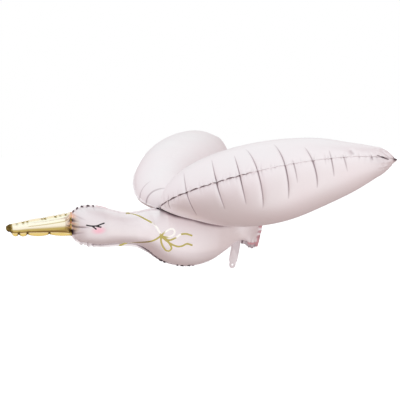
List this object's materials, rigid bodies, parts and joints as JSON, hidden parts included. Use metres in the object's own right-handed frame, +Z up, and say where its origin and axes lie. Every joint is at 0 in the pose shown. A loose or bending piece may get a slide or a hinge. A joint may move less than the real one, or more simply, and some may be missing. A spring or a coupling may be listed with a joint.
{
  "type": "stork foil balloon",
  "caption": "Inflated foil balloon of a flying stork, with a gold beak, leaf-shaped wings on its back, a flared tail and a tab with a ribbon hole.",
  "frame": {"origin": "centre of the ribbon hole in the inflation tab under the tail, on the bird's middle plane", "axes": "-X is the way the bird flies, from tail to beak; +Y is towards its right wing; +Z is up in level flight"},
  "size_m": [1.4216, 1.5886, 0.6325],
  "materials": {
    "body_foil": "satin pearl pink metallised film, with a thin gold and a black print",
    "wing_foil": "satin pearl pink metallised film",
    "beak_foil": "mirror gold metallised film, which looks like polished metal and isn't solid brass"
  },
  "bodies": {
    "root": {"body": "body_foil", "beak": "beak_foil", "left_wing": "wing_foil", "right_wing": "wing_foil"}
  },
  "joints": []
}
